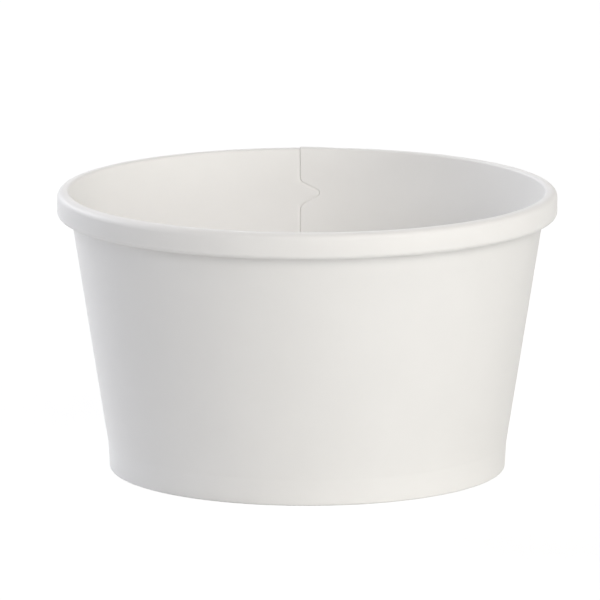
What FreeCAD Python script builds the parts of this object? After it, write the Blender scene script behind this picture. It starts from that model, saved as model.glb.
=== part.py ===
import FreeCAD, Part
import math
import os

import Sketcher

# A paper tub for sundaes, made of two pieces of coated board.
# The sidewall is one blank: wrapped into a cone, lapped and glued at the back, rolled outward
# at the rim and turned in at the foot. The base is a pressed round whose skirt is sealed
# between the wall and its turned-in hem.
# Origin: centre of the foot, on the surface that the cup stands on. +Z is up, the lap is at +Y.

# Driving dimensions in millimetres. Diameters are over the outer face of the board.
driving_sizes = {
    "cup_height": 64.8,            # foot to the crown of the rolled rim
    "rim_diameter": 115.0,         # over the upright face of the rolled rim
    "rim_height": 5.75,            # crown to the underside of the roll
    "rim_fold_radius": 0.8,        # outer radius of both lower corners of the roll
    "roll_tail_height": 3.4,       # height of the roll's hidden end above its underside
    "roll_gap": 0.06,              # between the roll's end and the wall
    "roll_width": 3.27,            # rim's upright face, out from the wall at the neck below it
    "hem_diameter": 91.9,          # wall, where its line meets the top of the hem
    "hem_taper": 0.375,            # how far the hem's line leans in at the ground, on each side
    "hem_height": 6.0,             # ground to the top of the hem, level with the floor
    "hem_bend_radius": 4.0,        # where the tapered wall turns down into the hem
    "foot_fold_radius": 0.5,       # outer radius of both corners of the foot's fold
    "tuck_height": 4.8,            # top of the turned-in board
    "side_board": 0.45,            # board of the sidewall
    "base_board": 0.4,             # board of the base
    "base_fold_radius": 0.8,       # outer radius between the floor and its skirt
    "seal_gap": 0.03,              # glue line on each side of the skirt
    "lap_width": 8.0,              # overlap of the two ends of the blank, level with the neck
    "lap_ramp_width": 1.6,         # where the outer layer climbs onto the inner one
    "lap_rise": 0.4,               # height of each layer's cut edge, pressed a little
    "lap_drop": 1.7,               # crown to the upper end of the wall's double layer
    "lap_bedding": 0.03,           # how far a layer is let into what it lies on, at its thin end
    "rim_lap_rise": 0.2,           # cut edge on the rim, where the roll presses it harder
    "seam_offset": 1.6,            # inner layer's cut edge at the neck, left of the back centre
    "notch_depth": 5.65,           # V in the inner layer's cut edge
    "notch_drop": 10.35,           # crown to the point of the V
    "notch_rise": 2.55,            # point of the V to its upper corner
    "notch_fall": 2.95,            # point of the V to its lower corner
    "notch_corner_radius": 1.2,    # both corners where the V leaves the straight edge
    "notch_point_radius": 0.95,    # point of the V
}

doc = FreeCAD.newDocument("paper_sundae_cup")
sizes = doc.addObject("Spreadsheet::Sheet", "sizes")
for row, (alias, value) in enumerate(driving_sizes.items(), start=1):
    sizes.set("A" + str(row), alias)
    sizes.set("B" + str(row), str(value))
    sizes.setAlias("B" + str(row), alias)
doc.recompute()

upright = FreeCAD.Rotation(FreeCAD.Vector(1, 0, 0), 90)
z_axis = FreeCAD.Vector(0, 0, 1)


def size(alias):
    return float(sizes.get(alias))


# Lines that several pieces share, worked out from the driving dimensions.
board = size("side_board")
rim_radius = size("rim_diameter") / 2
neck_radius = rim_radius - size("roll_width")
neck_z = size("cup_height") - size("rim_height")
wall_slope = (neck_radius - size("hem_diameter") / 2) / (neck_z - size("hem_height"))
wall_stretch = math.hypot(1, wall_slope)
foot_radius = size("hem_diameter") / 2 - size("hem_taper")
hem_slope = size("hem_taper") / size("hem_height")
hem_stretch = math.hypot(1, hem_slope)

# The same lines as expressions, for the features that are bound to the sheet.
neck_z_bound = "(sizes.cup_height - sizes.rim_height)"
neck_radius_bound = "(sizes.rim_diameter / 2 - sizes.roll_width)"
wall_slope_bound = (
    "((" + neck_radius_bound + " - sizes.hem_diameter / 2) / (" + neck_z_bound + " - sizes.hem_height))"
)
# The crown is the arc that touches the wall's line, the rim's upright face and the full height.
crown_bound = (
    "((sizes.roll_width - sizes.side_board"
    " - " + wall_slope_bound + " * (sizes.rim_height - sizes.side_board))"
    " / (sqrt(1 + " + wall_slope_bound + " ^ 2) + 1 - " + wall_slope_bound + "))"
)


def wall_radius(z):
    """Radius of the tapered wall's outer face."""
    return neck_radius + wall_slope * (z - neck_z)


def hem_radius(z):
    """Radius of the hem's outer face."""
    return foot_radius + hem_slope * z


crown_radius = (
    (rim_radius - board - wall_radius(size("cup_height") - board))
    / (wall_stretch + 1 - wall_slope)
)


# Sketching: a path is a list of corners, each with the radius of its rounding or None.


def unit(start, end):
    step = end - start
    return step / step.Length


def rounding(before, corner, after, radius):
    """Centre, start, end and turning side of the arc that rounds a corner."""
    back = unit(corner, before)
    ahead = unit(corner, after)
    half = back.getAngle(ahead) / 2
    reach = radius / math.tan(half)
    centre = corner + (back + ahead) / (back + ahead).Length * (radius / math.sin(half))
    left_turn = (corner - before).cross(after - corner).z > 0
    return centre, corner + back * reach, corner + ahead * reach, left_turn


def draw_path(sketch, corners, closed):
    """Draws the path and joins its pieces. Returns lines and arcs, each by the number of its corner."""
    points = [FreeCAD.Vector(x, y, 0) for x, y, radius in corners]
    count = len(points)
    pieces = []
    lines = {}
    arcs = {}
    leaving = {}
    for i, (x, y, radius) in enumerate(corners):
        here = points[i]
        leaving[i] = here
        if radius is not None:
            before = points[i - 1]
            after = points[(i + 1) % count]
            leaving[i] = rounding(before, here, after, radius)[2]
    for i in range(count if closed else count - 1):
        j = (i + 1) % count
        radius = corners[j][2]
        arriving = points[j]
        if radius is not None:
            centre, arriving, left, left_turn = rounding(
                points[i], points[j], points[(j + 1) % count], radius
            )
        lines[i] = sketch.addGeometry(Part.LineSegment(leaving[i], arriving))
        pieces.append((lines[i], 1, 2, False))
        if radius is not None:
            start = (arriving - centre).getAngle(FreeCAD.Vector(1, 0, 0))
            start = math.copysign(start, arriving.y - centre.y)
            end = (left - centre).getAngle(FreeCAD.Vector(1, 0, 0))
            end = math.copysign(end, left.y - centre.y)
            circle = Part.Circle(centre, z_axis, radius)
            if left_turn:
                arcs[j] = sketch.addGeometry(Part.ArcOfCircle(circle, start, end))
                pieces.append((arcs[j], 1, 2, True))
            else:
                arcs[j] = sketch.addGeometry(Part.ArcOfCircle(circle, end, start))
                pieces.append((arcs[j], 2, 1, True))
    joints = len(pieces) if closed else len(pieces) - 1
    for k in range(joints):
        one = pieces[k]
        other = pieces[(k + 1) % len(pieces)]
        kind = "Tangent" if one[3] or other[3] else "Coincident"
        sketch.addConstraint(Sketcher.Constraint(kind, one[0], one[2], other[0], other[1]))
    return lines, arcs


def guide_line(sketch, start, end):
    """A construction line that other geometry is set out from."""
    line = Part.LineSegment(FreeCAD.Vector(start[0], start[1], 0), FreeCAD.Vector(end[0], end[1], 0))
    return sketch.addGeometry(line, True)


def relate(sketch, *terms):
    sketch.addConstraint(Sketcher.Constraint(*terms))


def bind(sketch, name, expression, *terms):
    """Adds a dimension, names it and binds it to the sheet."""
    index = sketch.addConstraint(Sketcher.Constraint(*terms))
    sketch.renameConstraint(index, name)
    sketch.setExpression("Constraints." + name, expression)


def sheet_of_board(path, thickness, name):
    """The section of a board of even thickness, from the line of one of its faces."""
    section = doc.addObject("Part::Offset2D", name)
    section.Source = path
    section.Mode = "Skin"
    section.Join = "Arc"
    section.Fill = True
    section.setExpression("Value", thickness)
    return section


# Sidewall: the line of the board's outer face, from the tuck inside the foot to the end of the roll.

tuck_inset = 2 * board + size("base_board") + 2 * size("seal_gap")
tail_z = neck_z + size("roll_tail_height")
tail_offset = size("roll_gap") + board


def tuck_radius(z):
    return hem_radius(z) - tuck_inset * hem_stretch


def tail_radius(z):
    return wall_radius(z) + tail_offset * wall_stretch


roll_x = rim_radius - board
roll_floor = neck_z + board
crown_corner_z = neck_z + (roll_x - neck_radius) / wall_slope

face_path = doc.addObject("Sketcher::SketchObject", "face_path")
face_path.Placement = FreeCAD.Placement(FreeCAD.Vector(), upright)
path_lines, path_arcs = draw_path(
    face_path,
    [
        (tuck_radius(size("tuck_height")), size("tuck_height"), None),
        (tuck_radius(0), 0, size("foot_fold_radius")),
        (hem_radius(0), 0, size("foot_fold_radius")),
        (wall_radius(size("hem_height")), size("hem_height"), size("hem_bend_radius")),
        (roll_x, crown_corner_z, crown_radius),
        (roll_x, roll_floor, size("rim_fold_radius") - board),
        (tail_radius(roll_floor), roll_floor, size("rim_fold_radius") - board),
        (tail_radius(tail_z), tail_z, None),
    ],
    closed=False,
)
tuck_line, foot_line, hem_line, wall_line, rim_line, underside_line, tail_line = path_lines.values()
hem_guide = guide_line(
    face_path, (foot_radius, 0), (wall_radius(size("hem_height")), size("hem_height"))
)
wall_guide = guide_line(
    face_path, (wall_radius(size("hem_height")), size("hem_height")), (wall_radius(neck_z), neck_z)
)
relate(face_path, "Coincident", hem_guide, 2, wall_guide, 1)
relate(face_path, "PointOnObject", hem_guide, 1, -1)
bind(face_path, "foot_radius", "sizes.hem_diameter / 2 - sizes.hem_taper",
     "DistanceX", -1, 1, hem_guide, 1, foot_radius)
bind(face_path, "hem_radius", "sizes.hem_diameter / 2", "DistanceX", -1, 1, hem_guide, 2,
     size("hem_diameter") / 2)
bind(face_path, "hem_height", "sizes.hem_height", "DistanceY", -1, 1, hem_guide, 2, size("hem_height"))
bind(face_path, "neck_radius", neck_radius_bound, "DistanceX", -1, 1, wall_guide, 2, neck_radius)
bind(face_path, "neck_height", neck_z_bound, "DistanceY", -1, 1, wall_guide, 2, neck_z)
for line, guide in ((hem_line, hem_guide), (wall_line, wall_guide)):
    relate(face_path, "PointOnObject", line, 1, guide)
    relate(face_path, "PointOnObject", line, 2, guide)
relate(face_path, "Horizontal", foot_line)
relate(face_path, "PointOnObject", foot_line, 1, -1)
relate(face_path, "Parallel", tuck_line, hem_guide)
bind(face_path, "tuck_inset", "2 * sizes.side_board + sizes.base_board + 2 * sizes.seal_gap",
     "Distance", hem_guide, 1, tuck_line, tuck_inset)
bind(face_path, "tuck_height", "sizes.tuck_height", "DistanceY", -1, 1, tuck_line, 1, size("tuck_height"))
relate(face_path, "Vertical", rim_line)
bind(face_path, "roll_radius", "sizes.rim_diameter / 2 - sizes.side_board",
     "DistanceX", -1, 1, rim_line, 1, roll_x)
relate(face_path, "Horizontal", underside_line)
bind(face_path, "roll_floor", neck_z_bound + " + sizes.side_board",
     "DistanceY", -1, 1, underside_line, 1, roll_floor)
relate(face_path, "Parallel", tail_line, wall_guide)
bind(face_path, "tail_offset", "sizes.roll_gap + sizes.side_board",
     "Distance", wall_guide, 2, tail_line, tail_offset)
bind(face_path, "tail_height", neck_z_bound + " + sizes.roll_tail_height",
     "DistanceY", -1, 1, tail_line, 2, tail_z)
tuck_arc, foot_arc, hem_arc, crown_arc, rim_arc, tail_arc = path_arcs.values()
roll_fold_bound = "sizes.rim_fold_radius - sizes.side_board"
roll_fold = size("rim_fold_radius") - board
bind(face_path, "tuck_fold", "sizes.foot_fold_radius", "Radius", tuck_arc, size("foot_fold_radius"))
bind(face_path, "foot_fold", "sizes.foot_fold_radius", "Radius", foot_arc, size("foot_fold_radius"))
bind(face_path, "hem_bend", "sizes.hem_bend_radius", "Radius", hem_arc, size("hem_bend_radius"))
bind(face_path, "crown", crown_bound, "Radius", crown_arc, crown_radius)
bind(face_path, "rim_fold", roll_fold_bound, "Radius", rim_arc, roll_fold)
bind(face_path, "tail_fold", roll_fold_bound, "Radius", tail_arc, roll_fold)

wall_section = sheet_of_board(face_path, "sizes.side_board", "wall_section")

# Lap: the blank's right end lies inside, and its left end climbs over it beside the cut edge. The
# roll turns the board over, so on the rim the right end is the one that shows, a step above the left.

seam_azimuth = 90 + math.degrees(math.asin(size("seam_offset") / neck_radius))
ramp_angle = math.degrees(size("lap_ramp_width") / neck_radius)
lap_angle = math.degrees(size("lap_width") / neck_radius)
ramp_start = seam_azimuth + ramp_angle
bedding = size("lap_bedding")
lap_top_z = size("cup_height") - size("lap_drop")

wrapped_board = doc.addObject("Part::Revolution", "wrapped_board")
wrapped_board.Source = wall_section
wrapped_board.Axis = z_axis
wrapped_board.Angle = 360
wrapped_board.Solid = True
wrapped_board.Placement = FreeCAD.Placement(FreeCAD.Vector(), FreeCAD.Rotation(z_axis, seam_azimuth))


def at_azimuth(wire, azimuth):
    """Stands a wire drawn as radius and height in the upright plane at an azimuth."""
    standing = wire.copy()
    standing.Placement = FreeCAD.Placement(
        FreeCAD.Vector(), FreeCAD.Rotation(z_axis, azimuth).multiply(upright)
    )
    return standing


def loft_round(outline, stations):
    """A layer through stations of azimuth and rise."""
    wires = [at_azimuth(outline(rise), azimuth) for azimuth, rise in stations]
    return Part.makeLoft(wires, True, True)


def turn_round(outline, rise, azimuth, angle):
    """A layer of even height, turned about the cup's axis."""
    return Part.Face(at_azimuth(outline(rise), azimuth)).revolve(FreeCAD.Vector(), z_axis, angle)


def wall_band(heights, inner, outer):
    """A band along the hem and the wall, between two distances out from their outer face."""
    line = [(hem_radius(z) if z < size("hem_height") else wall_radius(z), z) for z in heights]
    points = [FreeCAD.Vector(x + outer * wall_stretch, z, 0) for x, z in line]
    points += [FreeCAD.Vector(x + inner * wall_stretch, z, 0) for x, z in reversed(line)]
    return Part.makePolygon(points + points[:1])


def outer_layer_outline(rise):
    """The outer layer, from the middle of the wall to a rise above its outer face."""
    return wall_band((size("foot_fold_radius"), size("hem_height"), lap_top_z), -board / 2, rise)


def recess_outline(rise):
    """Inside the cup, from clear of the wall to where the outer layer's inner face lies."""
    return wall_band((size("hem_height"), lap_top_z), -2 * board, rise - board)


def rim_layer_outline(rise):
    """The layer that shows on the rim, from the middle of the board to a rise above its face."""
    centre_x = rim_radius - crown_radius - board
    centre_z = size("cup_height") - crown_radius - board
    lower_x = rim_radius - size("rim_fold_radius")
    lower_z = neck_z + size("rim_fold_radius")
    inner_side = 180
    outer_side = 0
    below = -90

    def point(x, z, radius, degrees):
        turn = math.radians(degrees)
        return FreeCAD.Vector(x + radius * math.cos(turn), z + radius * math.sin(turn), 0)

    def arc(x, z, radius, first, last):
        middle = (first + last) / 2
        places = [point(x, z, radius, degrees) for degrees in (first, middle, last)]
        return Part.Arc(*places).toShape()

    outer = crown_radius + board + rise
    inner = crown_radius + board / 2
    lower_outer = size("rim_fold_radius")
    lower_inner = lower_outer - board / 2
    raised_x = lower_x + rise
    edges = [
        arc(centre_x, centre_z, outer, inner_side, outer_side),
        Part.LineSegment(point(centre_x, centre_z, outer, outer_side),
                         point(raised_x, lower_z, lower_outer, outer_side)).toShape(),
        arc(raised_x, lower_z, lower_outer, outer_side, below),
        Part.LineSegment(point(raised_x, lower_z, lower_outer, below),
                         point(lower_x, lower_z, lower_inner, below)).toShape(),
        arc(lower_x, lower_z, lower_inner, below, outer_side),
        Part.LineSegment(point(lower_x, lower_z, lower_inner, outer_side),
                         point(centre_x, centre_z, inner, outer_side)).toShape(),
        arc(centre_x, centre_z, inner, outer_side, inner_side),
        Part.LineSegment(point(centre_x, centre_z, inner, inner_side),
                         point(centre_x, centre_z, outer, inner_side)).toShape(),
    ]
    return Part.Wire(edges)


wall_ramp = loft_round(outer_layer_outline, [(ramp_start, -bedding), (seam_azimuth, size("lap_rise"))])
wall_layer = turn_round(outer_layer_outline, size("lap_rise"), seam_azimuth, -lap_angle)
fade_count = 5
fade = [
    (seam_azimuth - lap_angle * k / fade_count,
     size("rim_lap_rise") - (size("rim_lap_rise") + bedding) * (k / fade_count) ** 2)
    for k in range(fade_count + 1)
]
rim_layer = loft_round(rim_layer_outline, fade)

lap = doc.addObject("Part::Feature", "lap")
lap.Shape = wall_ramp.fuse([wall_layer, rim_layer])
lapped_board = doc.addObject("Part::MultiFuse", "lapped_board")
lapped_board.Shapes = [wrapped_board, lap]

# The inner layer stops at its cut edge. Left of the edge, and in its V-shaped notch, the outer
# layer shows, set back by the rise of the lap. The edge runs straight down the cone.

notch_z = size("cup_height") - size("notch_drop")
edge_foot = size("seam_offset") * size("hem_diameter") / 2 / neck_radius
edge_slope = (size("seam_offset") - edge_foot) / (neck_z - size("hem_height"))


def edge_x(z):
    """Place of the straight cut edge, seen from the front."""
    return -edge_foot - edge_slope * (z - size("hem_height"))


notch_top = (edge_x(notch_z + size("notch_rise")), notch_z + size("notch_rise"))
notch_point = (notch_top[0] + size("notch_depth"), notch_z)
notch_foot = (edge_x(notch_z - size("notch_fall")), notch_z - size("notch_fall"))
clear_x = -size("seam_offset") - 2 * size("lap_ramp_width")
shown_outer_layer = doc.addObject("Sketcher::SketchObject", "shown_outer_layer")
shown_outer_layer.Placement = FreeCAD.Placement(FreeCAD.Vector(), upright)
edge_lines, edge_arcs = draw_path(
    shown_outer_layer,
    [
        (edge_x(size("cup_height")), size("cup_height"), None),
        (*notch_top, size("notch_corner_radius")),
        (*notch_point, size("notch_point_radius")),
        (*notch_foot, size("notch_corner_radius")),
        (-edge_foot, size("hem_height"), None),
        (clear_x, size("hem_height"), None),
        (clear_x, size("cup_height"), None),
    ],
    closed=True,
)
upper_edge, notch_upper, notch_lower, lower_edge, foot_side, clear_side, top_side = edge_lines.values()
edge_guide = guide_line(shown_outer_layer, (edge_x(neck_z), neck_z), (-edge_foot, size("hem_height")))
upper_guide = guide_line(shown_outer_layer, notch_top, notch_point)
lower_guide = guide_line(shown_outer_layer, notch_point, notch_foot)
relate(shown_outer_layer, "Coincident", upper_guide, 2, lower_guide, 1)
relate(shown_outer_layer, "PointOnObject", upper_guide, 1, edge_guide)
relate(shown_outer_layer, "PointOnObject", lower_guide, 2, edge_guide)
edge_pairs = (
    (upper_edge, edge_guide),
    (notch_upper, upper_guide),
    (notch_lower, lower_guide),
    (lower_edge, edge_guide),
)
for line, guide in edge_pairs:
    relate(shown_outer_layer, "PointOnObject", line, 1, guide)
    relate(shown_outer_layer, "PointOnObject", line, 2, guide)
relate(shown_outer_layer, "Horizontal", foot_side)
relate(shown_outer_layer, "Vertical", clear_side)
relate(shown_outer_layer, "Horizontal", top_side)
edge_bounds = (
    ("seam_offset", "sizes.seam_offset", "DistanceX", edge_guide, 1, -1, 1, size("seam_offset")),
    ("seam_neck", neck_z_bound, "DistanceY", -1, 1, edge_guide, 1, neck_z),
    ("edge_foot", "sizes.seam_offset * sizes.hem_diameter / 2 / " + neck_radius_bound,
     "DistanceX", edge_guide, 2, -1, 1, edge_foot),
    ("edge_foot_height", "sizes.hem_height", "DistanceY", -1, 1, edge_guide, 2, size("hem_height")),
    ("top_height", "sizes.cup_height", "DistanceY", -1, 1, upper_edge, 1, size("cup_height")),
    ("foot_height", "sizes.hem_height", "DistanceY", -1, 1, lower_edge, 2, size("hem_height")),
    ("clear_side", "sizes.seam_offset + 2 * sizes.lap_ramp_width",
     "DistanceX", clear_side, 1, -1, 1, -clear_x),
    ("notch_depth", "sizes.notch_depth", "DistanceX", upper_guide, 1, upper_guide, 2, size("notch_depth")),
    ("notch_height", "sizes.cup_height - sizes.notch_drop", "DistanceY", -1, 1, upper_guide, 2, notch_z),
    ("notch_rise", "sizes.notch_rise", "DistanceY", upper_guide, 2, upper_guide, 1, size("notch_rise")),
    ("notch_fall", "sizes.notch_fall", "DistanceY", lower_guide, 2, lower_guide, 1, size("notch_fall")),
    ("upper_corner", "sizes.notch_corner_radius", "Radius", edge_arcs[1], size("notch_corner_radius")),
    ("notch_point", "sizes.notch_point_radius", "Radius", edge_arcs[2], size("notch_point_radius")),
    ("lower_corner", "sizes.notch_corner_radius", "Radius", edge_arcs[3], size("notch_corner_radius")),
)
for name, expression, *terms in edge_bounds:
    bind(shown_outer_layer, name, expression, *terms)

shown_prism = doc.addObject("Part::Extrusion", "shown_prism")
shown_prism.Base = shown_outer_layer
shown_prism.Dir = FreeCAD.Vector(0, 1, 0)
shown_prism.setExpression("LengthFwd", "sizes.rim_diameter / 2")
shown_prism.Solid = True

notch_angle = math.degrees(2 * size("notch_depth") / neck_radius)
recess_ramp = loft_round(recess_outline, [(ramp_start, -bedding), (seam_azimuth, size("lap_rise"))])
recess_layer = turn_round(recess_outline, size("lap_rise"), seam_azimuth, -notch_angle)
set_back = doc.addObject("Part::Feature", "set_back")
set_back.Shape = recess_ramp.fuse(recess_layer)
seam_recess = doc.addObject("Part::MultiCommon", "seam_recess")
seam_recess.Shapes = [shown_prism, set_back]

sidewall = doc.addObject("Part::Cut", "sidewall")
sidewall.Label = "sidewall"
sidewall.Base = lapped_board
sidewall.Tool = seam_recess

# Base: a flat floor level with the top of the hem, and a skirt that follows the hem's inner face.

base_disc = doc.addObject("PartDesign::Body", "base_disc")
base_disc.Label = "base_disc"
upright_plane = next(f for f in base_disc.Origin.OriginFeatures if f.Role == "XZ_Plane")
base_section = base_disc.newObject("Sketcher::SketchObject", "base_section")
base_section.AttachmentSupport = (upright_plane, "")
base_section.MapMode = "FlatFace"
floor_board = size("base_board")
floor_z = size("hem_height")
skirt_inset = board + size("seal_gap")
skirt_foot_z = board + size("seal_gap")


def skirt_radius(z, depth):
    return hem_radius(z) - (skirt_inset + depth) * hem_stretch


base_lines, base_arcs = draw_path(
    base_section,
    [
        (0, floor_z, None),
        (skirt_radius(floor_z, 0), floor_z, size("base_fold_radius")),
        (skirt_radius(skirt_foot_z, 0), skirt_foot_z, None),
        (skirt_radius(skirt_foot_z, floor_board), skirt_foot_z, None),
        (skirt_radius(floor_z - floor_board, floor_board), floor_z - floor_board,
         size("base_fold_radius") - floor_board),
        (0, floor_z - floor_board, None),
    ],
    closed=True,
)
floor_line, skirt_line, skirt_foot, skirt_inside, underside, axis_edge = base_lines.values()
base_guide = guide_line(base_section, (hem_radius(0), 0), (hem_radius(floor_z), floor_z))
relate(base_section, "PointOnObject", base_guide, 1, -1)
for line in (floor_line, underside, skirt_foot):
    relate(base_section, "Horizontal", line)
relate(base_section, "PointOnObject", floor_line, 1, -2)
relate(base_section, "PointOnObject", underside, 2, -2)
relate(base_section, "Parallel", skirt_line, base_guide)
relate(base_section, "Parallel", skirt_inside, base_guide)
base_bounds = (
    ("foot_radius", "sizes.hem_diameter / 2 - sizes.hem_taper",
     "DistanceX", -1, 1, base_guide, 1, foot_radius),
    ("hem_radius", "sizes.hem_diameter / 2", "DistanceX", -1, 1, base_guide, 2, hem_radius(floor_z)),
    ("hem_height", "sizes.hem_height", "DistanceY", -1, 1, base_guide, 2, floor_z),
    ("floor_height", "sizes.hem_height", "DistanceY", -1, 1, floor_line, 1, floor_z),
    ("floor_thickness", "sizes.base_board", "DistanceY", underside, 2, floor_line, 1, floor_board),
    ("skirt_inset", "sizes.side_board + sizes.seal_gap", "Distance", base_guide, 1, skirt_line, skirt_inset),
    ("skirt_depth", "sizes.side_board + sizes.seal_gap + sizes.base_board",
     "Distance", base_guide, 1, skirt_inside, skirt_inset + floor_board),
    ("skirt_foot", "sizes.side_board + sizes.seal_gap", "DistanceY", -1, 1, skirt_foot, 1, skirt_foot_z),
    ("outer_fold", "sizes.base_fold_radius", "Radius", base_arcs[1], size("base_fold_radius")),
    ("inner_fold", "sizes.base_fold_radius - sizes.base_board", "Radius", base_arcs[4],
     size("base_fold_radius") - floor_board),
)
for name, expression, *terms in base_bounds:
    bind(base_section, name, expression, *terms)

base_turn = base_disc.newObject("PartDesign::Revolution", "base_turn")
base_turn.Profile = base_section
base_turn.ReferenceAxis = (base_section, ["V_Axis"])
base_turn.Angle = 360

doc.recompute()
pieces = (sidewall, base_disc)
for thing in doc.Objects:
    if "Invalid" in thing.State or "Error" in thing.State:
        raise RuntimeError(thing.Name + " could not be built")
for piece in pieces:
    shape = piece.Shape
    if shape.isNull() or not shape.isValid() or len(shape.Solids) != 1:
        raise RuntimeError(piece.Label + " is not one sound solid")

os.makedirs("parts", exist_ok=True)
for piece in pieces:
    piece.Shape.exportStep("parts/" + piece.Label + ".step")
    box = piece.Shape.BoundBox
    print(piece.Label, round(piece.Shape.Volume, 1), "mm3,", len(piece.Shape.Faces), "faces,",
          round(box.XLength, 2), "x", round(box.YLength, 2), "x", round(box.ZLength, 2), "mm")
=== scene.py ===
import math

import bpy
import numpy as np
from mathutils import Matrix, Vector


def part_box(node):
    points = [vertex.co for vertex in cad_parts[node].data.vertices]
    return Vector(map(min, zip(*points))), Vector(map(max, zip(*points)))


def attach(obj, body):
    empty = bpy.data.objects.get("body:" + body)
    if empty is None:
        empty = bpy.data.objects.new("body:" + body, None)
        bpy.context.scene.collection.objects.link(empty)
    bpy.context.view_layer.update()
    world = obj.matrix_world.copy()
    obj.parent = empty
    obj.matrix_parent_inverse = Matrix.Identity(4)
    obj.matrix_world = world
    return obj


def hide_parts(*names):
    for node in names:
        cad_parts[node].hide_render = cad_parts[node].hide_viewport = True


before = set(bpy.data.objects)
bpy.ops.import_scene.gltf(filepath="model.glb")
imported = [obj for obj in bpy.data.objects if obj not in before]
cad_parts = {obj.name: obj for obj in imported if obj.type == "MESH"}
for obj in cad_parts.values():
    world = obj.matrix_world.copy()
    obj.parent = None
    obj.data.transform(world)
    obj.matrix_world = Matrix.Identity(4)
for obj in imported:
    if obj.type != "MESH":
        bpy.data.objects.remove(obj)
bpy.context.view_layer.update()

# A paper tub for sundaes: one wrapped, lapped and rolled sidewall, and one pressed base.
# Lengths on the cup are given in millimetres and angles in degrees. The meshes, the lamps and
# the camera's place are in metres.

mm = 0.001
wallLow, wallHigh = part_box("sidewall")
baseLow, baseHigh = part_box("base_disc")
rimRadius = wallHigh.x / mm
floorHeight = baseHigh.z / mm


def smoothStep(t):
    t = np.clip(t, 0.0, 1.0)
    return t * t * (3 - 2 * t)


def ramp(value, start, end):
    return smoothStep((value - start) / (end - start))


# Section lines. A line is a list of corners (x, z, radius of the rounding or None), and it
# becomes a list of pieces. Each piece gives points and right-hand normals for shares from 0 to 1.

def straightPiece(start, end):
    along = (end - start) / np.linalg.norm(end - start)
    side = np.array([along[1], -along[0]])

    def at(share):
        share = np.asarray(share, float)[:, None]
        return start + (end - start) * share, side + 0 * share
    return at


def roundPiece(centre, start, end, leftTurn):
    radius = np.linalg.norm(start - centre)
    first = math.atan2(start[1] - centre[1], start[0] - centre[0])
    last = math.atan2(end[1] - centre[1], end[0] - centre[0])
    turn = (last - first) % math.tau if leftTurn else -((first - last) % math.tau)

    def at(share):
        angle = first + turn * np.asarray(share, float)
        spoke = np.stack([np.cos(angle), np.sin(angle)], axis=1)
        return centre + radius * spoke, spoke if leftTurn else -spoke
    return at


def roundedLine(corners):
    points = [np.array(corner[:2], float) for corner in corners]
    pieces = []
    leaving = points[0]
    for before, here, after, corner in zip(points, points[1:], points[2:], corners[1:]):
        if corner[2] is None:
            pieces.append(straightPiece(leaving, here))
            leaving = here
            continue
        back = (before - here) / np.linalg.norm(before - here)
        ahead = (after - here) / np.linalg.norm(after - here)
        half = math.acos(float(np.dot(back, ahead))) / 2
        reach = corner[2] / math.tan(half)
        middle = (back + ahead) / np.linalg.norm(back + ahead)
        centre = here + middle * corner[2] / math.sin(half)
        leftTurn = back[1] * ahead[0] - back[0] * ahead[1] > 0
        start, end = here + back * reach, here + ahead * reach
        pieces.append(straightPiece(leaving, start))
        pieces.append(roundPiece(centre, start, end, leftTurn))
        leaving = end
    pieces.append(straightPiece(leaving, points[-1]))
    return pieces


# Sidewall. The line is the printed face of the board, from the tuck inside the foot, down and
# round the foot, up the wall, over the crown and round the roll to its hidden end.

sidewall = {
    "board": 0.45,
    "rollHeight": 5.98,         # crown to the underside of the roll
    "rollWidth": 3.20,          # upright face of the roll, out from the wall
    "crownFold": 0.3,           # printed face, where the wall turns into the crown
    "crownRound": 1.15,         # printed face, where the crown turns down into the rim
    "rollFold": 1.1,            # outer radius of the roll's lower corners
    "tailHeight": 3.4,          # end of the board inside the roll, above the underside
    "tailGap": 0.06,
    "hemRadius": 45.95,         # at the top of the hem
    "footRadius": 45.575,
    "hemBend": 4.0,
    "footFold": 0.5,
    "tuckHeight": 4.8,
    "tuckDepth": 1.36,          # two thicknesses of the wall, one of the base and the glue
    "seamOffset": -1.6,         # cut edge of the inner layer, beside the back centre
    "seamCut": 0.05,            # width over which that cut edge drops
    "seamLip": 0.02,            # rounding at its top
    "lapWidth": 8.0,
    "lapCut": 0.03,             # width over which the outer layer's cut edge drops
    "rampWidth": 1.6,           # where the outer layer climbs over the inner one
    "lapStep": 0.4,             # cut edge of the outer layer, outside
    "lapTop": 2.6,              # crown to where that step starts to fade
    "lapTopFade": 1.2,
    "rimStep": 0.2,             # cut edge on the rim, pressed thinner by the roll
    "rimStepLow": 1.0,          # neck to where that step starts
    "rimStepHigh": 1.5,         # crown to where it is whole
    "rimDip": 0.06,             # beside that step, on the lower side
    "rimDipWidth": 0.2,
    "valleyDepth": 0.24,        # beside the inner layer's cut edge, where the lap is pressed flush
    "valleyWidth": 1.2,
    "creviceDepth": 0.06,
    "creviceWidth": 0.32,
    "creviceFade": 0.12,
    "notchValley": 0.62,        # share of those depths left round the notch
    "notchTilt": 0.12,          # more of it on the upper slant, less on the lower
    "notchFade": 2.0,
    "notchDepth": 5.65,         # V in the inner layer's cut edge
    "notchDrop": 10.35,         # crown to the point of the V
    "notchRise": 2.75,
    "notchFall": 3.15,
    "notchCorner": 1.2,
    "notchPoint": 0.95,
    "waves": [(2, 0.05, 5.88), (3, 0.035, 5.24), (5, 0.02, 1.2)],     # lobes, height, phase
    "waveInset": 0.025,         # keeps the waves inside the solids' box
    "waveLow": 3.0,             # floor to where the waves start
    "waveHigh": 9.0,            # crown to where they are whole
    "ripples": [(17, 0.008, 0.3), (29, 0.006, 1.9), (43, 0.004, 4.0)],
    "rippleLow": 8.0,           # crown to where the ripples start, and to where they are whole
    "rippleHigh": 4.0,
    "sharpAngle": 32,
}

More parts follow.
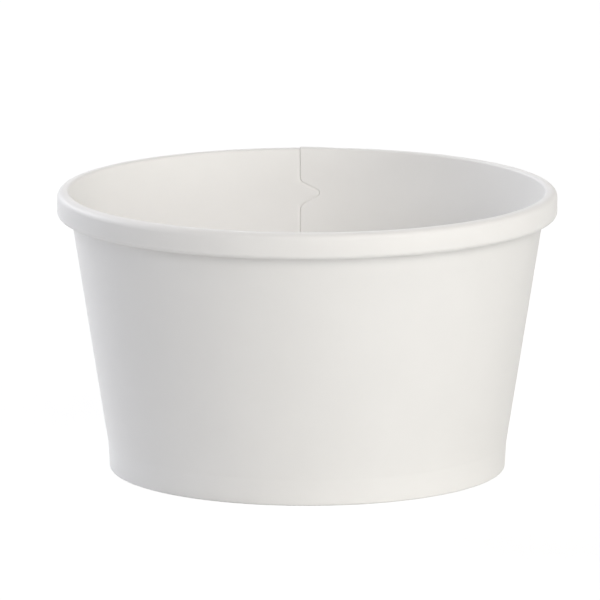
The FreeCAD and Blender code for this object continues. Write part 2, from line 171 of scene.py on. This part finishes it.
pieceNames = ["tuck", "tuckFold", "foot", "footFold", "hem", "hemBend", "wall", "crownFold",
              "crownTop", "crown", "rimFace", "rollFold", "underside", "tailFold", "tail"]
wallPieces = ["hem", "hemBend", "wall"]
rimPieces = ["crownFold", "crownTop", "crown", "rimFace", "rollFold", "underside"]
tailPieces = ["tailFold", "tail"]

# Rows of the mesh along each piece, on the printed face and on the coated face.
printedRows = {"tuck": 4, "tuckFold": 7, "foot": 2, "footFold": 8, "hem": 4, "hemBend": 5,
               "wall": 22, "crownFold": 4, "crownTop": 1, "crown": 6, "rimFace": 2,
               "rollFold": 4, "underside": 2, "tailFold": 4, "tail": 3}
coatedRows = {"tuck": 3, "tuckFold": 3, "foot": 1, "footFold": 3, "hem": 2, "hemBend": 3,
              "wall": 22, "crownFold": 11, "crownTop": 3, "crown": 16, "rimFace": 6,
              "rollFold": 9, "underside": 4, "tailFold": 5, "tail": 3}
rowMargin = 0.01          # share of the wall kept clear on each side of the notch's rows
notchRowStep = 0.13
notchArcSteps = 25
farColumns = 236
seamReach = 14.0          # how far the closer columns go on each side of the seam
tiny = 0.001              # millimetres, less than any gap between columns


def sidewallLine(cup):
    board = cup["board"]
    crownHeight = wallHigh.z / mm - cup["rimStep"]
    neckHeight = crownHeight - cup["rollHeight"]
    neckRadius = rimRadius - cup["rollWidth"]
    slope = (neckRadius - cup["hemRadius"]) / (neckHeight - floorHeight)
    stretch = math.hypot(1, slope)
    hemSlope = (cup["hemRadius"] - cup["footRadius"]) / floorHeight
    hemStretch = math.hypot(1, hemSlope)
    rollX = rimRadius - board
    rollFloor = neckHeight + board
    fold = cup["rollFold"] - board

    def wallX(z):
        return neckRadius + slope * (z - neckHeight)

    def tuckX(z):
        return cup["footRadius"] + hemSlope * z - cup["tuckDepth"] * hemStretch

    def tailX(z):
        return wallX(z) + (cup["tailGap"] + board) * stretch

    crownLine = crownHeight - board
    tailEnd = neckHeight + cup["tailHeight"]
    corners = [
        (tuckX(cup["tuckHeight"]), cup["tuckHeight"], None),
        (tuckX(0), 0, cup["footFold"]),
        (cup["footRadius"], 0, cup["footFold"]),
        (cup["hemRadius"], floorHeight, cup["hemBend"]),
        (wallX(crownLine), crownLine, cup["crownFold"]),
        (rollX, crownLine, cup["crownRound"]),
        (rollX, rollFloor, fold),
        (tailX(rollFloor), rollFloor, fold),
        (tailX(tailEnd), tailEnd, None),
    ]
    return dict(zip(pieceNames, roundedLine(corners))), crownHeight, neckHeight, neckRadius


def notchTable(cup, crownHeight):
    # Heights, how far the cut edge stands back there, and how far it leans from upright.
    point = crownHeight - cup["notchDrop"]
    top, bottom = point + cup["notchRise"], point - cup["notchFall"]
    spare = 2 * cup["notchCorner"]
    corners = [
        (0, top + spare, None),
        (0, top, cup["notchCorner"]),
        (cup["notchDepth"], point, cup["notchPoint"]),
        (0, bottom, cup["notchCorner"]),
        (0, bottom - spare, None),
    ]
    shares = np.linspace(0, 1, notchArcSteps)
    places = np.concatenate([piece(shares)[0] for piece in roundedLine(corners)])
    places = places[np.argsort(places[:, 1])]
    heights = np.arange(bottom - cup["notchCorner"], top + cup["notchCorner"], notchRowStep)
    depths = np.interp(heights, places[:, 1], places[:, 0])
    return heights, depths, np.gradient(depths, notchRowStep)


def faceRows(pieces, counts, extraHeights=()):
    places, normals, names, shares = [], [], [], []
    for name in pieceNames:
        share = np.arange(counts[name]) / counts[name]
        if name == "wall" and len(extraHeights):
            ends = pieces[name]([0, 1])[0][:, 1]
            extra = (np.asarray(extraHeights) - ends[0]) / (ends[1] - ends[0])
            clear = (share < extra[0] - rowMargin) | (share > extra[-1] + rowMargin)
            share = np.sort(np.concatenate([share[clear], extra]))
        if name == "tail":
            share = np.linspace(0, 1, counts[name])
        place, normal = pieces[name](share)
        places.append(place)
        normals.append(normal)
        names += [name] * len(share)
        shares.append(share)
    return (np.concatenate(places), np.concatenate(normals),
            np.array(names), np.concatenate(shares))


def seamColumns(cup):
    # Millimetres from the inner layer's cut edge, close together where the board steps.
    lap, cut = cup["lapWidth"], cup["seamCut"]
    edge = [-0.24, -0.17, -0.11, -cut, -0.4 * cut, 0.0, 0.03, 0.09, 0.2, 0.4, 0.7, 1.1]
    lapEnd = [lap - 0.3, lap - 0.08, lap - cup["lapCut"], lap, lap + 0.02, lap + 0.1, lap + 0.3]
    return np.concatenate([
        np.arange(-seamReach, -8, 1.0), np.arange(-8, -5.2, 0.3), np.arange(-5.2, -0.3, 0.17),
        edge, np.arange(1.6, lap - 0.5, 0.6), lapEnd, np.arange(lap + 1, seamReach + 0.1, 1.0),
    ])


def waveHeight(cup, angle, height, crownHeight):
    total = sum(size * np.sin(lobes * angle + phase) for lobes, size, phase in cup["waves"])
    fine = sum(size * np.sin(lobes * angle + phase) for lobes, size, phase in cup["ripples"])
    rise = ramp(height, floorHeight + cup["waveLow"], crownHeight - cup["waveHigh"])
    top = ramp(height, crownHeight - cup["rippleLow"], crownHeight - cup["rippleHigh"])
    return (total - cup["waveInset"]) * rise + fine * top


def sidewallMesh(cup):
    pieces, crownHeight, neckHeight, neckRadius = sidewallLine(cup)
    notchHeights, notchDepths, notchSlants = notchTable(cup, crownHeight)
    printed = faceRows(pieces, printedRows)
    coated = faceRows(pieces, coatedRows, notchHeights)

    near = seamColumns(cup)
    around = math.tau * neckRadius
    far = np.linspace(near[-1], around + near[0], farColumns + 2)[1:-1]
    offset = np.concatenate([near, far])                 # from the straight cut edge, at the neck
    side = np.where(offset > around / 2, offset - around, offset)[None, :]
    pull = np.clip(1 - np.abs(side) / near[-1], 0, 1)    # how far a column bends with the notch
    seamAngle = math.asin(cup["seamOffset"] / neckRadius)
    beforeEdge = side < -cup["seamCut"] + tiny
    onInner = side > -tiny
    onOuter = side < cup["lapWidth"] - tiny

    grids = []
    for isCoated, (places, normals, names, shares) in ((False, printed), (True, coated)):
        x, z = places[:, :1], places[:, 1:]
        nx, nz = normals[:, :1], normals[:, 1:]
        share = shares[:, None]

        def on(wanted):
            return np.isin(names, wanted)[:, None]

        onWall = on(wallPieces)
        inNotch = on(["wall"]) & isCoated
        notch = np.where(inNotch, np.interp(z, notchHeights, notchDepths, left=0, right=0), 0)
        slant = np.where(inNotch, np.interp(z, notchHeights, notchSlants, left=0, right=0), 0)
        angle = seamAngle + side / neckRadius + notch * pull / x
        past = (angle - seamAngle) * neckRadius
        fromEdge = (past - notch * neckRadius / x) / np.hypot(1, slant)

        lapped = ramp(past, -cup["rampWidth"], 0) * onOuter
        rollShare = ramp(z, neckHeight + cup["rimStepLow"], crownHeight - cup["rimStepHigh"])
        rollShare = np.where(onWall, rollShare, on(rimPieces) * 1.0)
        footShare = on(["footFold"]) * smoothStep(share)
        if isCoated:
            wallShare = np.where(onWall, 1 - rollShare, footShare)
            left = cup["notchValley"] - cup["notchTilt"] * np.clip(slant, -1, 1)
            shallow = 1 - (1 - left) * smoothStep(notch / cup["notchFade"])
            valley = cup["valleyDepth"] * np.clip(1 + fromEdge / cup["valleyWidth"], 0, 1) ** 2
            creviceStart = -cup["creviceWidth"]
            crevice = ramp(fromEdge, creviceStart, creviceStart + cup["creviceFade"])
            depth = shallow * (valley + cup["creviceDepth"] * crevice)
            depth = np.where(beforeEdge, depth, np.where(onInner, 0, depth * 0.5))
            depth = np.where(np.isclose(side, 0), cup["seamLip"], depth)
            thinning = np.clip(1 - (side / cup["lapWidth"]) ** 2, 0, 1)
            proud = cup["rimStep"] * thinning * onInner
            dip = cup["rimDip"] * (beforeEdge & (side > -cup["rimDipWidth"]))
            wane = np.where(on(["underside"]), 1 - smoothStep(share), 1.0)
            push = wallShare * depth - (proud - dip) * rollShare * wane
            x = x - cup["board"] * nx
            z = z - cup["board"] * nz
        else:
            stepTop = crownHeight - cup["lapTop"]
            fading = ramp(z, stepTop, stepTop + cup["lapTopFade"])
            wallShare = np.where(onWall, 1 - fading, footShare)
            push = cup["lapStep"] * wallShare * lapped
        # The hidden end of the roll moves out with the outer layer of the lap.
        carried = on(tailPieces) + on(["underside"]) * smoothStep(share)
        radius = x + nx * push + carried * cup["lapStep"] * lapped
        height = np.maximum(z + nz * push, 0)
        radius = radius + waveHeight(cup, angle, height, crownHeight)
        grids.append(np.stack([radius * np.sin(angle), radius * np.cos(angle), height], axis=2))
    outer, inner = grids[0], grids[1][::-1]
    return np.concatenate([outer, inner]), len(outer), offset


def gridObject(name, grid, faceFinish, materials, sharpAngle):
    rows, columns = grid.shape[:2]
    i, j = np.meshgrid(np.arange(rows), np.arange(columns), indexing="ij")
    down, across = (i + 1) % rows, (j + 1) % columns
    faces = np.stack([i * columns + j, down * columns + j,
                      down * columns + across, i * columns + across], axis=2)
    mesh = bpy.data.meshes.new(name)
    mesh.from_pydata((grid.reshape(-1, 3) * mm).tolist(), [], faces.reshape(-1, 4).tolist())
    for material in materials:
        mesh.materials.append(material)
    mesh.polygons.foreach_set("material_index", faceFinish.reshape(-1).astype(np.int32))
    mesh.polygons.foreach_set("use_smooth", np.ones(rows * columns, bool))
    mesh.set_sharp_from_angle(angle=math.radians(sharpAngle))
    mesh.update()
    thing = bpy.data.objects.new(name, mesh)
    bpy.context.scene.collection.objects.link(thing)
    return thing


# Finishes. The board is white all through: a print face with a dull coat, a sealed face inside
# the cup with a little more sheen, and bare fibre at the cut edges. The sealed face is a touch
# lighter than the print face, and that extra is painted light that lifts the shaded inside of the
# cup.

boardFinishes = {
    "outer_board": {"colour": (0.88, 0.875, 0.86), "roughness": 0.58, "specular": 0.40,
                    "grain": 0.10, "fibre": 0.06, "mottle": 0.006},
    # white board, plus a touch of painted light that lifts the shaded inside; it also lightens the
    # crown and the roll's face
    "inner_board": {"colour": (0.89, 0.884, 0.868), "roughness": 0.48, "specular": 0.25,
                    "grain": 0.08, "fibre": 0.04, "mottle": 0.006},
    "cut_edge": {"colour": (0.74, 0.73, 0.70), "roughness": 0.9, "specular": 0.2,
                 "grain": 0.5, "fibre": 0.6, "mottle": 0.04},
}
textures = {
    "cloud": {"scale": 90, "detail": 3, "stretch": (1, 1, 1)},        # scales per metre
    "grain": {"scale": 620, "detail": 4, "stretch": (1, 1, 1)},
    "fibre": {"scale": 1900, "detail": 3, "stretch": (1, 1, 0.35)},
}
cloudRange = (0.3, 0.7)   # part of the noise that makes the mottle
sheenSpread = 0.05        # of the roughness, to each side
fibreHeight = 0.00002     # metres
grainHeight = 0.00006


def boardFinish(name):
    finish = boardFinishes[name]
    material = bpy.data.materials.new(name)
    material.use_nodes = True
    nodes, links = material.node_tree.nodes, material.node_tree.links
    shader = nodes["Principled BSDF"]
    place = nodes.new("ShaderNodeTexCoord")

    def noise(kind):
        mapping = nodes.new("ShaderNodeMapping")
        mapping.inputs["Scale"].default_value = textures[kind]["stretch"]
        links.new(place.outputs["Object"], mapping.inputs["Vector"])
        texture = nodes.new("ShaderNodeTexNoise")
        texture.inputs["Scale"].default_value = textures[kind]["scale"]
        texture.inputs["Detail"].default_value = textures[kind]["detail"]
        links.new(mapping.outputs["Vector"], texture.inputs["Vector"])
        return texture.outputs["Fac"]

    def bump(strength, distance, height):
        node = nodes.new("ShaderNodeBump")
        node.inputs["Strength"].default_value = strength
        node.inputs["Distance"].default_value = distance
        links.new(height, node.inputs["Height"])
        return node

    clouds, grain, fibres = noise("cloud"), noise("grain"), noise("fibre")

    tone = nodes.new("ShaderNodeMapRange")
    tone.inputs["From Min"].default_value = cloudRange[0]
    tone.inputs["From Max"].default_value = cloudRange[1]
    tone.inputs["To Min"].default_value = 1 - finish["mottle"]
    tone.inputs["To Max"].default_value = 1 + finish["mottle"]
    links.new(clouds, tone.inputs["Value"])
    colour = nodes.new("ShaderNodeVectorMath")
    colour.operation = "SCALE"
    colour.inputs[0].default_value = finish["colour"]
    links.new(tone.outputs["Result"], colour.inputs["Scale"])
    links.new(colour.outputs["Vector"], shader.inputs["Base Color"])

    sheen = nodes.new("ShaderNodeMapRange")
    sheen.inputs["To Min"].default_value = finish["roughness"] - sheenSpread
    sheen.inputs["To Max"].default_value = finish["roughness"] + sheenSpread
    links.new(grain, sheen.inputs["Value"])
    links.new(sheen.outputs["Result"], shader.inputs["Roughness"])
    shader.inputs["Specular IOR Level"].default_value = finish["specular"]

    coarse = bump(finish["grain"], grainHeight, grain)
    fine = bump(finish["fibre"], fibreHeight, fibres)
    links.new(coarse.outputs["Normal"], fine.inputs["Normal"])
    links.new(fine.outputs["Normal"], shader.inputs["Normal"])
    return material


outerBoard = boardFinish("outer_board")
innerBoard = boardFinish("inner_board")
cutEdge = boardFinish("cut_edge")
print("finishes made")


def makeSidewall():
    grid, outerRows, offset = sidewallMesh(sidewall)
    rows, columns = grid.shape[:2]
    materials = [outerBoard, innerBoard, cutEdge]
    printedFace, coatedFace, cutFace = range(3)
    finish = np.full((rows, columns), printedFace)
    finish[outerRows - 1:] = coatedFace
    finish[outerRows - 1] = cutFace            # end of the board inside the roll
    finish[rows - 1] = cutFace                 # end of the board inside the foot
    lap = sidewall["lapWidth"]
    lapEdge = (offset > lap - sidewall["lapCut"] - tiny) & (offset < lap - tiny)
    finish[:outerRows - 1, lapEdge] = cutFace
    seamEdge = (offset > -sidewall["seamCut"] - tiny) & (offset < -tiny)
    finish[outerRows:rows - 1, seamEdge] = cutFace
    cup = gridObject("cup_sidewall", grid, finish, materials, sidewall["sharpAngle"])
    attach(cup, "root")
    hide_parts("sidewall")


# Base: a pressed round with a down-turned skirt. The fold puckers a little, as board does.

baseRound = {
    "board": 0.4,
    "fold": 0.8,
    "sealGap": 0.03,
    "puckers": [(61, 0.010, 0.5), (83, 0.008, 2.2), (37, 0.010, 4.4)],
    "puckerReach": (3.5, 0.5),  # in from the skirt, to where they start and to where they are whole
    "puckerDrop": (1.4, 0.6),   # down from the floor, likewise
    "dish": 0.12,               # how far the middle of the floor lies below its edge
    "dishEdge": 2.0,            # level ring next to the skirt
    "middle": 0.4,              # radius of the innermost ring
    "rows": [26, 9, 4, 1, 4, 5, 26],      # along the floor, fold, skirt, its end, and back inside
    "columns": 288,
    "sharpAngle": 40,
}


def makeBase():
    board, gap = baseRound["board"], baseRound["sealGap"]
    hemSlope = (sidewall["hemRadius"] - sidewall["footRadius"]) / floorHeight
    stretch = math.hypot(1, hemSlope)
    inset = sidewall["board"] + gap
    foot = baseLow.z / mm

    def skirtX(z, depth):
        return sidewall["footRadius"] + hemSlope * z - (inset + depth) * stretch

    corners = [
        (baseRound["middle"], floorHeight, None),
        (skirtX(floorHeight, 0), floorHeight, baseRound["fold"]),
        (skirtX(foot, 0), foot, None),
        (skirtX(foot, board), foot, None),
        (skirtX(floorHeight - board, board), floorHeight - board, baseRound["fold"] - board),
        (baseRound["middle"], floorHeight - board, None),
    ]
    counts = baseRound["rows"]
    points = []
    for piece, count in zip(roundedLine(corners), counts):
        points.append(piece(np.arange(count) / count)[0])
    points.append(np.array([[baseRound["middle"], floorHeight - board]]))
    line = np.concatenate(points)
    angle = np.linspace(0, math.tau, baseRound["columns"], endpoint=False)[None, :]
    x, z = line[:, 0][:, None], line[:, 1][:, None]
    edge = skirtX(floorHeight, 0)
    reach, drop = baseRound["puckerReach"], baseRound["puckerDrop"]
    nearFold = (ramp(x, edge - reach[0], edge - reach[1])
                * ramp(z, floorHeight - drop[0], floorHeight - drop[1]))
    puckers = sum(size * (np.sin(lobes * angle + phase) - 1)
                  for lobes, size, phase in baseRound["puckers"])
    flat = (z > floorHeight - board - tiny) * 1.0
    sag = baseRound["dish"] * (1 - smoothStep(x / (edge - baseRound["dishEdge"]))) * flat
    height = z - sag + puckers * nearFold
    grid = np.stack([x * np.sin(angle), x * np.cos(angle), height], axis=2)

    rows, columns = grid.shape[:2]
    vertices = (grid.reshape(-1, 3) * mm).tolist()
    faces = []
    for i in range(rows - 1):
        for j in range(columns):
            k = (j + 1) % columns
            near, far = i * columns, (i + 1) * columns
            faces.append((near + j, near + k, far + k, far + j))
    # The middle of the floor and of its underside are closed with a fan each.
    top, under, last = len(vertices), len(vertices) + 1, (rows - 1) * columns
    for level in (floorHeight, floorHeight - board):
        vertices.append((0, 0, (level - baseRound["dish"]) * mm))
    for j in range(columns):
        k = (j + 1) % columns
        faces.append((top, k, j))
        faces.append((under, last + j, last + k))
    mesh = bpy.data.meshes.new("cup_base")
    mesh.from_pydata(vertices, [], faces)
    for material in (innerBoard, cutEdge):
        mesh.materials.append(material)
    skirtEnd = sum(counts[:3])
    finish = np.zeros(len(faces), np.int32)
    finish[skirtEnd * columns:(skirtEnd + 1) * columns] = 1       # cut edge of the skirt
    mesh.polygons.foreach_set("material_index", finish)
    mesh.polygons.foreach_set("use_smooth", np.ones(len(faces), bool))
    mesh.set_sharp_from_angle(angle=math.radians(baseRound["sharpAngle"]))
    mesh.update()
    base = bpy.data.objects.new("cup_base", mesh)
    bpy.context.scene.collection.objects.link(base)
    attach(base, "root")
    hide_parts("base_disc")


makeSidewall()
print("sidewall made")
makeBase()
print("base made")


# Stage: a white floor that keeps a faint shadow, and a white surround.

stage = {"floorSize": 14.0,       # metres
         "floorGap": 0.02,        # millimetres under the foot
         "floorGlow": 0.875,      # what the camera sees, with the shade that carries the shadow
         "floorShade": 0.20,
         "floorColour": 0.80,     # what lights the cup from below
         "surround": 0.10}


def cameraShare(nodes, links):
    path = nodes.new("ShaderNodeLightPath")
    first = nodes.new("ShaderNodeMath")
    first.operation = "MAXIMUM"
    links.new(path.outputs["Is Camera Ray"], first.inputs[0])
    links.new(path.outputs["Is Glossy Ray"], first.inputs[1])
    second = nodes.new("ShaderNodeMath")
    second.operation = "MAXIMUM"
    links.new(first.outputs[0], second.inputs[0])
    links.new(path.outputs["Is Transmission Ray"], second.inputs[1])
    return second.outputs[0]


def makeFloor():
    half = stage["floorSize"] / 2
    mesh = bpy.data.meshes.new("floor")
    low = -stage["floorGap"] * mm
    corners = [(-half, -half, low), (half, -half, low), (half, half, low), (-half, half, low)]
    mesh.from_pydata(corners, [], [(0, 1, 2, 3)])
    material = bpy.data.materials.new("white_floor")
    material.use_nodes = True
    nodes, links = material.node_tree.nodes, material.node_tree.links
    nodes.clear()
    output = nodes.new("ShaderNodeOutputMaterial")
    lit = nodes.new("ShaderNodeBsdfDiffuse")
    lit.inputs["Color"].default_value = (stage["floorColour"],) * 3 + (1,)
    faint = nodes.new("ShaderNodeBsdfDiffuse")
    faint.inputs["Color"].default_value = (stage["floorShade"],) * 3 + (1,)
    glow = nodes.new("ShaderNodeEmission")
    glow.inputs["Strength"].default_value = stage["floorGlow"]
    seen = nodes.new("ShaderNodeAddShader")
    links.new(faint.outputs[0], seen.inputs[0])
    links.new(glow.outputs[0], seen.inputs[1])
    mix = nodes.new("ShaderNodeMixShader")
    links.new(cameraShare(nodes, links), mix.inputs[0])
    links.new(lit.outputs[0], mix.inputs[1])
    links.new(seen.outputs[0], mix.inputs[2])
    links.new(mix.outputs[0], output.inputs["Surface"])
    mesh.materials.append(material)
    floor = bpy.data.objects.new("floor", mesh)
    bpy.context.scene.collection.objects.link(floor)


def makeSurround():
    world = bpy.data.worlds.new("surround")
    bpy.context.scene.world = world
    world.use_nodes = True
    nodes, links = world.node_tree.nodes, world.node_tree.links
    nodes.clear()
    output = nodes.new("ShaderNodeOutputWorld")
    soft = nodes.new("ShaderNodeBackground")
    soft.inputs["Strength"].default_value = stage["surround"]
    white = nodes.new("ShaderNodeBackground")
    white.inputs["Strength"].default_value = 1.0
    soft.inputs["Color"].default_value = (1, 1, 1, 1)
    white.inputs["Color"].default_value = (1, 1, 1, 1)
    mix = nodes.new("ShaderNodeMixShader")
    links.new(cameraShare(nodes, links), mix.inputs[0])
    links.new(soft.outputs[0], mix.inputs[1])
    links.new(white.outputs[0], mix.inputs[2])
    links.new(mix.outputs[0], output.inputs["Surface"])


# Lamps: azimuth from the front towards +X, elevation, size, power and colour. All are soft round
# panels at one distance. The warm ones stand at the front and right, the cool ones at the left
# and behind.

lampDistance = 1.5
lamps = {
    "key": {
        "azimuth": 20, "elevation": 20, "size": 0.7,
        "power": 6.11, "colour": (1.0, 0.985, 0.951)},
    "key_high": {
        "azimuth": 30, "elevation": 35, "size": 0.7,
        "power": 4.72, "colour": (1.0, 0.969, 0.935)},
    "top_right": {
        "azimuth": 45, "elevation": 62, "size": 0.7,
        "power": 2.83, "colour": (1.0, 0.949, 0.95)},
    "side_right": {
        "azimuth": 70, "elevation": 20, "size": 0.7,
        "power": 1.16, "colour": (1.0, 0.908, 0.834)},
    "low_right": {
        "azimuth": 60, "elevation": 5, "size": 0.25,
        "power": 3.21, "colour": (0.979, 1.0, 0.939)},
    "side_left": {
        "azimuth": -90, "elevation": 20, "size": 0.7,
        "power": 3.75, "colour": (0.846, 0.886, 1.0)},
    "back_left": {
        "azimuth": -135, "elevation": 20, "size": 0.7,
        "power": 6.49, "colour": (0.97, 0.974, 1.0)},
    "back_high": {
        "azimuth": -130, "elevation": 35, "size": 0.7,
        "power": 5.39, "colour": (0.96, 0.964, 1.0)},
    "back": {
        "azimuth": 180, "elevation": 35, "size": 0.7,
        "power": 2.63, "colour": (0.979, 0.967, 1.0)},
}


def makeLamp(name, lamp):
    light = bpy.data.lights.new(name, "AREA")
    light.shape = "DISK"
    light.size = lamp["size"]
    light.energy = lamp["power"]
    light.color = lamp["colour"]
    thing = bpy.data.objects.new(name, light)
    bpy.context.scene.collection.objects.link(thing)
    around, up = math.radians(lamp["azimuth"]), math.radians(lamp["elevation"])
    middle = np.array([0, 0, wallHigh.z / 2])
    level = math.cos(up)
    way = np.array([math.sin(around) * level, -math.cos(around) * level, math.sin(up)])
    thing.location = middle + way * lampDistance
    thing.rotation_euler = (math.pi / 2 - up, 0, around)


# Camera: a long lens, looking a little down at the cup. Lens and sensor are in millimetres.

view = {"distance": 2.2018, "height": 0.458, "pitch": 10.778, "turn": 0.0436,
        "lens": 583.9, "sensor": 36.0}


def makeCamera():
    camera = bpy.data.cameras.new("camera")
    camera.sensor_width = view["sensor"]
    camera.lens = view["lens"]
    camera.clip_end = 100
    thing = bpy.data.objects.new("camera", camera)
    bpy.context.scene.collection.objects.link(thing)
    thing.location = (0, -view["distance"], view["height"])
    thing.rotation_euler = (math.radians(90 - view["pitch"]), 0, math.radians(view["turn"]))
    bpy.context.scene.camera = thing


makeFloor()
makeSurround()
for name, lamp in lamps.items():
    makeLamp(name, lamp)
makeCamera()
bpy.context.scene.view_settings.view_transform = "Standard"
print("stage made")
